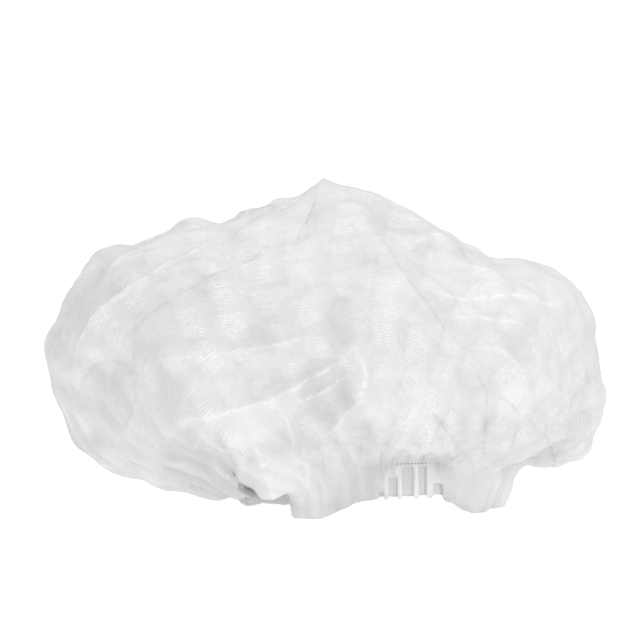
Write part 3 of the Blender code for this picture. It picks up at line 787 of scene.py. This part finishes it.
def crown_skin():
    """The crown as a grid of points, cut edge first, with their places on the flat sheet and their looks."""
    places, rows, stride = spread_rows()
    angle, window_height = window_angles(places)
    form, pleat = cap_form(angle, places)
    normal = outward(form)
    share = np.clip((places - len(HEM)) / (len(CROWN) - 1), 0, 1)
    flat = sheet_places(angle, rows)
    from_peak = np.linalg.norm(form - PEAK, axis=-1)
    calm = np.clip(from_peak / CALM_TOP, 0, 1) ** 2
    marks = [np.full(angle.shape, 2 * LINE_REACH), np.zeros(angle.shape)]
    body = ease((places - len(HEM) + BODY_FROM) / BODY_FADE)[:, None]

    # The main folds stand on the smooth form, and everything smaller on them
    folds = fold_relief(form, normal, marks)
    relief = wave_relief(angle, share) + calm * body * (folds + puff_relief(form))
    points = form + normal * relief[..., None]
    normal = outward(points)
    small = crease_relief(points, normal, marks)
    small += crumple_relief(points)

    # The window's strands take the place of the gathers there
    outside = rows > TURN_DOWN
    in_window = np.exp(-(((angle - radians(LIFTS[0].middle)) / radians(WINDOW_HALF)) ** 4))
    by_window = in_window * (outside * (1 - ease((window_height - CLEAR_FROM) / CLEAR_FADE)))[:, None]
    gathers = gather_relief(angle, pleat, rows) * (1 - by_window)
    bands, gleam = fan_relief(flat, calm * body, marks)
    gleam *= ease((rows[:, None] - GLEAM_FROM) / GLEAM_FADE)
    # Painted shade in the valleys of the gathers and bands, painted light on the gathers' crests
    valleys = GATHER_LIGHT_AND_SHADE * gathers / GATHER_DEPTH * outside[:, None] + BAND_VALLEY_SHADE * np.clip(bands, -1, 0)
    fine = bands + calm * body * small + gathers + window_relief(window_height)
    points = points + normal * fine[..., None]
    points[..., 2] = np.maximum(points[..., 2], 0)
    looks = {
        "line_away": marks[0],
        "line_tone": marks[1] * body * np.clip(from_peak / LINES_FROM_PEAK, 0, 1),
        "gleam": gleam,
        # Painted light and shade: the patches seen from the front, and the valleys of the gathers and bands
        "painted_shading": painted_patch_tone(form, normal) + valleys,
    }
    return points, flat, looks, window_height, stride


def strip_faces(row, columns, stride, next_stride):
    """The faces between two rows of a grid that closes round: quads, or five corners at a wider row."""
    column = np.arange(0, columns, next_stride)
    low = [row * columns + (column + k) % columns for k in range(0, next_stride + 1, stride)]
    high = [(row + 1) * columns + (column + k) % columns for k in (next_stride, 0)]
    return np.stack([*low, *high], axis=-1)


def build_mesh(name, points, faces):
    """A smooth-shaded mesh of points in mm, placed where the CAD lies."""
    mesh = bpy.data.meshes.new(name)
    mesh.from_pydata(((points + middle_of_band()) * MM).tolist(), [], faces)
    mesh.update()
    mesh.shade_smooth()
    return mesh


def add_piece(name, mesh, material):
    """An object for the mesh, in the scene, with its material, riding on the cap."""
    piece = bpy.data.objects.new(name, mesh)
    bpy.context.scene.collection.objects.link(piece)
    mesh.materials.append(material)
    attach(piece, "root")
    return piece


def set_uv(mesh, uv):
    """Gives each corner of each face its point's place on a map."""
    corner = np.empty(len(mesh.loops), int)
    mesh.loops.foreach_get("vertex_index", corner)
    mesh.uv_layers.new(name="sheet").data.foreach_set("uv", uv[corner].ravel())


def colour(code):
    """An sRGB hex code as linear red, green, blue and alpha."""
    value = np.array([int(code[k : k + 2], 16) for k in (0, 2, 4)]) / 255
    linear = np.where(value <= 0.04045, value / 12.92, ((value + 0.055) / 1.055) ** 2.4)
    return (*linear.tolist(), 1.0)


def add_node(tree, kind, inputs=(), output=0, **settings):
    """Adds a shader node, its inputs set to values or linked to sockets, and gives one of its outputs."""
    node = tree.nodes.new("ShaderNode" + kind)
    for name, value in settings.items():
        setattr(node, name, value)
    for name, value in dict(inputs).items():
        if isinstance(value, bpy.types.NodeSocket):
            tree.links.new(value, node.inputs[name])
        else:
            node.inputs[name].default_value = value
    return node.outputs[output] if len(node.outputs) else None


# The flat map is this wide in mm, and a wave texture of scale 1 repeats after this length
MAP_WIDTH = 540.0
WAVE_LENGTH = 0.314


def start_material(name):
    """An empty material, the function that adds nodes to it, and the piece's flat map in mm."""
    made = bpy.data.materials.new(name)
    made.use_nodes = True
    made.node_tree.nodes.clear()
    add = partial(add_node, made.node_tree)
    flat = add("UVMap", uv_map="sheet")
    return made, add, add("Mapping", {"Vector": flat, "Scale": (MAP_WIDTH, MAP_WIDTH, 1)})


# Sizes in the cloth: from rib to rib of the crepe, from bond to bond, and across a facet, a dent and a field
# where cloth lies double. Real bonds are under 1 mm apart and real fibres 0.02 mm thick, and both are drawn
# coarser here, because finer ones don't show.
CREPE_PITCH = 1.5
BOND_PITCH = 1.3
FACET_SIZE = 12
DENT_SIZE = 5
LAP_SIZES = (11, 21)


def spunbond():
    """Spunbond polypropylene, 14 grams a square metre, point bonded and creped.

    Thin white fibres laid at random and pressed together at small dots: cloudy and see-through to light,
    with a soft satin gleam. Fine ribs run across the sheet and are plainest where the pack pressed it:
    deeper, less rough, and with ribs and dots painted brighter as a highlight. Sharp lines are creases: a
    painted highlight, with some whitening of the cloth, where they stick out, and painted shade where they
    turn in.
    Patches of painted light and shade lie over it, as do painted shade in the valleys of the gathers and
    bands and painted light on the gathers' crests.
    """
    made, add, mm = start_material("spunbond_polypropylene")
    lengthwise = add("Mapping", {"Vector": mm, "Scale": (0.3, 1.5, 1)})
    # The crease lines' place and their painted highlight and shade, the gleam, and the patches of painted
    # light and shade
    line_away, line_tone, gleam, painted_shading = (
        add("Attribute", output="Fac", attribute_name=name)
        for name in ("line_away", "line_tone", "gleam", "painted_shading")
    )

    # Noises, by how often they come in a mm: breaks in lines, breaks in the ribs' painted highlight, cloudy
    # and grainy cloth, fibres
    breaks, rib_break_noise, clouds, grain, fibres = (
        add("TexNoise", {"Vector": place, "Scale": scale, "Detail": detail}, output="Fac")
        for place, scale, detail in (
            (mm, 0.22, 3.0),
            (mm, 0.5, 3.0),
            (mm, 0.14, 4.0),
            (mm, 0.75, 2.0),
            (lengthwise, 0.8, 3.0),
        )
    )
    crepe = {"Scale": WAVE_LENGTH / CREPE_PITCH, "Distortion": 3.4, "Detail": 2.0, "Detail Scale": 0.35}
    ribs = add("TexWave", {"Vector": mm, **crepe}, output="Fac", bands_direction="Y")
    bond = {"Vector": mm, "Scale": 1 / BOND_PITCH, "Randomness": 0.9}
    from_bond = add("TexVoronoi", bond, output="Distance")

    # Crumples: flat facets and smaller dents with bent borders, and fields where cloth lies double
    bend = add("TexNoise", {"Vector": mm, "Scale": 0.06, "Detail": 3.0}, output="Color")
    swirl = add("VectorMath", {0: bend, 1: (9, 9, 0)}, operation="MULTIPLY")
    bent_mm = add("VectorMath", {0: mm, 1: swirl})
    facet = {"Vector": bent_mm, "Scale": 1 / FACET_SIZE}
    facets = add("TexVoronoi", facet, output="Distance", feature="DISTANCE_TO_EDGE")
    dents = add("TexVoronoi", {"Vector": bent_mm, "Scale": 1 / DENT_SIZE}, output="Distance")
    laps = 0.0
    for size, weight in zip(LAP_SIZES, (0.4, 0.6)):
        cells = add("TexVoronoi", {"Vector": bent_mm, "Scale": 1 / size}, output="Color")
        own_share = add("SeparateColor", {0: cells})
        laps = add("Math", {0: own_share, 1: weight, 2: laps}, operation="MULTIPLY_ADD")

    # Shares that go over smoothly between two levels of what they follow: the levels and the share at each.
    # A crease is a hair-fine line with a soft side, which comes and goes.
    distance = add("Math", {0: line_away}, operation="ABSOLUTE")
    broken, hair, soft_side, pressed, ribs_kept, rough = (
        add(
            "MapRange",
            {"Value": followed, "From Min": low, "From Max": high, "To Min": at_low, "To Max": at_high},
            interpolation_type="SMOOTHSTEP",
        )
        for followed, low, high, at_low, at_high in (
            (breaks, 0.36, 0.56, 0.12, 1.0),
            (distance, 0.05, 0.55, 1.0, 0.0),
            (distance, 0.3, 1.9, 0.4, 0.0),
            (from_bond, 0.16, 0.42, 0.0, 1.0),
            (rib_break_noise, 0.4, 0.58, 0.2, 1.0),
            (gleam, 0.0, 1.0, 0.52, 0.38),
        )
    )
    # The crease lines' painted highlight and painted shade, broken here and there
    tone = add("Math", {0: line_tone, 1: broken}, operation="MULTIPLY")
    line = add("Math", {0: hair, 1: soft_side}, operation="MAXIMUM")
    creased = add("Math", {0: line, 1: tone}, operation="MULTIPLY")

    # Ribs are deeper where the cloth gleams, and there ribs and bonds are painted brighter as a highlight
    rib_depth, dot_tone_and_highlight, rib_highlight_share = (
        add("Math", {0: gleam, 1: gain, 2: least}, operation="MULTIPLY_ADD")
        for gain, least in ((1.5, 0.12), (0.2, 0.06), (1.05, 0.02))
    )
    relief = add("Math", {0: ribs, 1: rib_depth}, operation="MULTIPLY")
    for pattern, depth in ((pressed, 0.14), (fibres, 0.5), (facets, 4.0), (dents, 1.6), (creased, 0.8)):
        relief = add("Math", {0: pattern, 1: depth, 2: relief}, operation="MULTIPLY_ADD")
    normal = add("Bump", {"Height": relief, "Strength": 0.7, "Distance": 0.28 * MM})

    # Colour: each share is what it follows, times a gain, plus a level, and draws the tint to its colour
    thin = add("Math", {0: clouds, 1: 0.6, 2: -0.25}, operation="MULTIPLY_ADD")
    dots = add("Math", {0: pressed, 1: dot_tone_and_highlight}, operation="MULTIPLY")
    rib_highlight_mask = add("Math", {0: ribs, 1: ribs_kept}, operation="MULTIPLY")
    rib_highlight = add("Math", {0: rib_highlight_mask, 1: rib_highlight_share}, operation="MULTIPLY")
    tint = colour("D6D6D6")
    for followed, gain, level, code in (
        (grain, 0.9, thin, "EFEFEF"),
        (laps, 0.65, -0.2, "D0D0D0"),
        # The bonds' dots are whiter, and more so where the gleam's painted highlight lies
        (dots, 1.0, 0.0, "FFFFFF"),
        # The ribs' painted highlight
        (rib_highlight, 1.0, 0.0, "FFFFFF"),
        # The gleam's painted highlight
        (gleam, 0.15, 0.0, "F8F8F8"),
        # Painted light and painted shade of the front patches and the valleys
        (painted_shading, 0.4, 0.0, "FAFAFA"),
        (painted_shading, -0.5, 0.0, "C4C4C4"),
        # The crease lines: a painted highlight with some whitening of the cloth, and painted shade
        (creased, 0.85, 0.0, "FFFFFF"),
        (creased, -0.45, 0.0, "A6A6A6"),
    ):
        share = add("Math", {0: followed, 1: gain, 2: level}, operation="MULTIPLY_ADD")
        tint = add("Mix", {0: share, 6: tint, 7: colour(code)}, output=2, data_type="RGBA")

    look = {"Base Color": tint, "Roughness": rough, "IOR": 1.49, "Sheen Weight": 0.1, "Normal": normal}
    face = add("BsdfPrincipled", look)
    through = add("BsdfTranslucent", {"Color": tint, "Normal": normal})
    cloth = add("MixShader", {0: 0.5, 1: face, 2: through})
    add("OutputMaterial", {"Surface": cloth})
    return made


def build_crown():
    """The crown without the faces of the slots, and without the points that no face uses."""
    points, flat, looks, window_height, stride = crown_skin()
    rows = len(points)
    slot_tops = SLOT_FLOOR + np.array([slot.height for slot in SLOTS])
    strips = []
    for row in range(rows - 1):
        strip = strip_faces(row, COLUMNS, stride[row], stride[row + 1])
        if stride[row + 1] == 1:
            first = np.flatnonzero(window_height[row + 1] <= slot_tops)[:, None] * SLOT_STEP
            strip = np.delete(strip, (first + np.arange(GAP_COLUMNS)).ravel(), axis=0)
        strips.append(strip)
    around = (rows - 1) * COLUMNS + np.arange(0, COLUMNS, stride[-1])
    strips.append(np.stack([around, np.roll(around, -1), np.full(len(around), rows * COLUMNS)], axis=-1))
    used = np.unique(np.concatenate([strip.ravel() for strip in strips]))
    number = np.zeros(rows * COLUMNS + 1, int)
    number[used] = np.arange(len(used))
    faces = [face for strip in strips for face in number[strip].tolist()]
    mesh = build_mesh("crown_cloth", np.vstack([points.reshape(-1, 3), PEAK])[used], faces)
    set_uv(mesh, (np.vstack([flat.reshape(-1, 2), [0, 0]]) / MAP_WIDTH + 0.5)[used])
    for name, values in looks.items():
        kept = np.append(values.ravel(), values[-1].mean())[used]
        mesh.attributes.new(name, "FLOAT", "POINT").data.foreach_set("value", kept)
    return mesh


crown = add_piece("crown_cloth", build_crown(), spunbond())
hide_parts("crown")

# The elastic
# A flat knitted elastic 14 mm wide, light grey, whose rubber threads run round it and draw the knit into
# upright ribs. It is sewn in as a closed oval inside the hem and shows between the strands of the window.

BAND_COLUMNS = 960
BAND_ROWS = 14
BAND_HEIGHT = 14.4
BAND_THICKNESS = 1.0
# Its way round the oval, in whole mm
BAND_LENGTH = 311
# How high the band stands over the hem's lift, and how much more where the hem slopes
BAND_FOOT = 1.4
FOOT_ON_SLOPE = 0.6
# Its ribs, how far it stays inside its oval, so that the cloth clears them, and the distances from rib to
# rib and from loop to loop in its material
RIBS = 240
RIB_DEPTH = 0.06
BAND_INSET = 0.12
RIB_PITCH = 1.296
LOOP_PITCH = 0.9


def band_skin():
    """An upright oval that follows the lifts of the hem, its face waved into ribs that end at its edges."""
    angle = np.arange(BAND_COLUMNS) * 2 * pi / BAND_COLUMNS
    height, _ = lift_of(angle)
    slope = np.abs(np.gradient(height)) / (2 * pi / BAND_COLUMNS * BAND_HALF_DEPTH)
    foot = height + BAND_FOOT + FOOT_ON_SLOPE * slope
    up = np.linspace(0, 1, BAND_ROWS + 1)[:, None]
    rib = RIB_DEPTH * np.cos(RIBS * angle) * np.clip(8 * up * (1 - up), 0, 1)
    out = rib - BAND_INSET
    x = BAND_X + (BAND_HALF_WIDTH + out) * np.cos(angle)
    y = (BAND_HALF_DEPTH + out) * np.sin(angle)
    z = foot + BAND_HEIGHT * up
    along = angle / (2 * pi) * BAND_LENGTH / MAP_WIDTH
    uv = np.stack(np.broadcast_arrays(along, up * BAND_HEIGHT / MAP_WIDTH), axis=-1)
    return np.stack([x, y, z], axis=-1), uv


def ribbed_elastic():
    """Knitted elastic of polyester over rubber threads: matt light grey, darker between its ribs."""
    made, add, mm = start_material("knitted_elastic")
    ribs, loops = (
        add(
            "TexWave",
            {"Vector": mm, "Scale": WAVE_LENGTH / pitch, "Distortion": uneven},
            output="Fac",
            bands_direction=way,
        )
        for pitch, uneven, way in ((RIB_PITCH, 0.4, "X"), (LOOP_PITCH, 0.6, "Y"))
    )
    knit = add("Math", {0: loops, 1: 0.3, 2: ribs}, operation="MULTIPLY_ADD")
    tint = add("Mix", {0: ribs, 6: colour("C0C0C0"), 7: colour("CACACA")}, output=2, data_type="RGBA")
    normal = add("Bump", {"Height": knit, "Strength": 0.4, "Distance": 0.12 * MM})
    face = add("BsdfPrincipled", {"Base Color": tint, "Roughness": 0.8, "Normal": normal})
    add("OutputMaterial", {"Surface": face})
    return made


def build_band():
    """The band as a closed strip; the wall is added by a modifier."""
    points, uv = band_skin()
    quads = np.concatenate([strip_faces(row, BAND_COLUMNS, 1, 1) for row in range(BAND_ROWS)])
    mesh = build_mesh("elastic_knit", points.reshape(-1, 3), quads.tolist())
    set_uv(mesh, uv.reshape(-1, 2))
    return mesh


elastic = add_piece("elastic_knit", build_band(), ribbed_elastic())
wall = elastic.modifiers.new("wall", "SOLIDIFY")
wall.thickness = BAND_THICKNESS * MM
wall.offset = -1
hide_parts("elastic_band")

# The stitches
# Grey polyester thread, sewn through the gathers and the elastic. The seam is under the folds everywhere but
# over the window, so only this stretch of it is made.

THREAD_WIDTH = 0.42
THREAD_SIDES = 8
STITCH_LENGTH = 1.0
STITCH_PITCH = 1.6
STITCH_RINGS = 9
# The seam's first and last stitch across, its height, and how far out from the elastic's oval it lies
SEAM_FROM = 31.6
SEAM_TO = 45.2
SEAM_HEIGHT = 24.3
SEAM_OUT = 4.4


def stitch_skins():
    """Small ovals of thread in a row: the points of each, as a grid of rings from end to end."""
    count = int((SEAM_TO - SEAM_FROM) / STITCH_PITCH) + 1
    across = SEAM_FROM + STITCH_PITCH * np.arange(count)
    angle = -np.arccos((across - BAND_X) / (BAND_HALF_WIDTH + SEAM_OUT))
    sides = np.arange(THREAD_SIDES) * 2 * pi / THREAD_SIDES
    along, round_it = np.meshgrid(np.linspace(0, pi, STITCH_RINGS), sides, indexing="ij")
    length = -0.5 * STITCH_LENGTH * np.cos(along)
    radius = 0.5 * THREAD_WIDTH * np.sqrt(np.sin(along))
    out, up = radius * np.cos(round_it), radius * np.sin(round_it)
    turn = angle[:, None, None]
    reach_x, reach_y = BAND_HALF_WIDTH + SEAM_OUT + out, BAND_HALF_DEPTH + SEAM_OUT + out
    x = BAND_X + reach_x * np.cos(turn) - length * np.sin(turn)
    y = reach_y * np.sin(turn) + length * np.cos(turn)
    return np.stack([x, y, np.broadcast_to(SEAM_HEIGHT + up, x.shape)], axis=-1)


def plain_material(name, sockets):
    """A material of one shader with its sockets set."""
    made = bpy.data.materials.new(name)
    made.use_nodes = True
    for socket, value in sockets.items():
        made.node_tree.nodes["Principled BSDF"].inputs[socket].default_value = value
    return made


def build_stitches():
    """All stitches as one mesh, each closed at its ends."""
    skins = stitch_skins()
    count, rings, sides = skins.shape[:3]
    strips = np.concatenate([strip_faces(ring, sides, 1, 1) for ring in range(rings - 1)])
    faces = np.concatenate([strips + k * rings * sides for k in range(count)])
    return build_mesh("seam_stitches", skins.reshape(-1, 3), faces.tolist())


# Spun polyester sewing thread: grey and matt, too fine here to show its twist
thread = plain_material("polyester_thread", {"Base Color": colour("808080"), "Roughness": 0.7})
add_piece("seam_stitches", build_stitches(), thread)

# Room, light and camera
# A plain white table and wall, and three large soft lights: one at the front right, a low one in front that
# fills the shadows at the hem, and one overhead. The camera has a long lens, five degrees above level.

# The light that the room gives, of 1 for white, and the light that the white table adds of its own
ROOM = 0.73
TABLE_GLOW = 0.7
TABLE_HALF = 6.0
Lamp = namedtuple("Lamp", "name place aim size power")
LAMPS = [
    Lamp("front_light", (0.9, -1.1, 0.8), (0, 0, 0.07), 0.6, 5.5),
    Lamp("front_fill", (0.3, -1.9, 0.12), (0, 0, 0.04), 1.2, 7.0),
    Lamp("overhead_light", (-0.1, 0.1, 1.6), (0, 0, 0.07), 1.2, 13.0),
]
# The lens and the sensor in mm, the camera's distance in metres, and what it looks at: across and up, in mm
LENS, SENSOR = 625, 36
CAMERA_AWAY = 5.0
AIM_X, AIM_Z = -2.7, 83.2


def add_floor():
    """A wide pale floor."""
    paint = {"Base Color": colour("C8C8C8"), "Roughness": 0.9, "Emission Color": (1, 1, 1, 1)}
    mesh = bpy.data.meshes.new("floor")
    corners = [(x * TABLE_HALF, y * TABLE_HALF, 0) for x, y in ((-1, -1), (1, -1), (1, 1), (-1, 1))]
    mesh.from_pydata(corners, [], [(0, 1, 2, 3)])
    mesh.materials.append(plain_material("white_table", {**paint, "Emission Strength": TABLE_GLOW}))
    table = bpy.data.objects.new("floor", mesh)
    bpy.context.scene.collection.objects.link(table)
    return table


def turned_to(direction):
    """The rotation that makes a light or a camera look in a direction."""
    return direction.to_track_quat("-Z", "Y").to_euler()


def add_lamp(lamp):
    """A square soft light that looks at a point."""
    light = bpy.data.lights.new(lamp.name, "AREA")
    light.size = lamp.size
    light.energy = lamp.power
    placed = bpy.data.objects.new(lamp.name, light)
    placed.location = lamp.place
    placed.rotation_euler = turned_to(Vector(lamp.aim) - Vector(lamp.place))
    bpy.context.scene.collection.objects.link(placed)


floor = add_floor()
world = bpy.data.worlds.new("white_room")
world.use_nodes = True
white = world.node_tree.nodes["Background"]
white.inputs["Color"].default_value = (1, 1, 1, 1)
# The wall looks white to the camera and lights the cap a little less
seen = add_node(world.node_tree, "LightPath", output="Is Camera Ray")
strength = add_node(world.node_tree, "MapRange", {"Value": seen, "To Min": ROOM, "To Max": 1.0})
world.node_tree.links.new(strength, white.inputs["Strength"])
bpy.context.scene.world = world
bpy.context.scene.view_settings.view_transform = "Standard"
for lamp in LAMPS:
    add_lamp(lamp)

camera_data = bpy.data.cameras.new("camera")
camera_data.lens = LENS
camera_data.sensor_width = SENSOR
camera_data.clip_end = 10 * CAMERA_AWAY
camera = bpy.data.objects.new("camera", camera_data)
aim = Vector(((AIM_X + middle_of_band()[0]) * MM, 0.0, AIM_Z * MM))
back = Vector((0, -np.cos(SIGHT_TILT), np.sin(SIGHT_TILT)))
camera.location = aim + back * CAMERA_AWAY
camera.rotation_euler = turned_to(-back)
bpy.context.scene.collection.objects.link(camera)
bpy.context.scene.camera = camera
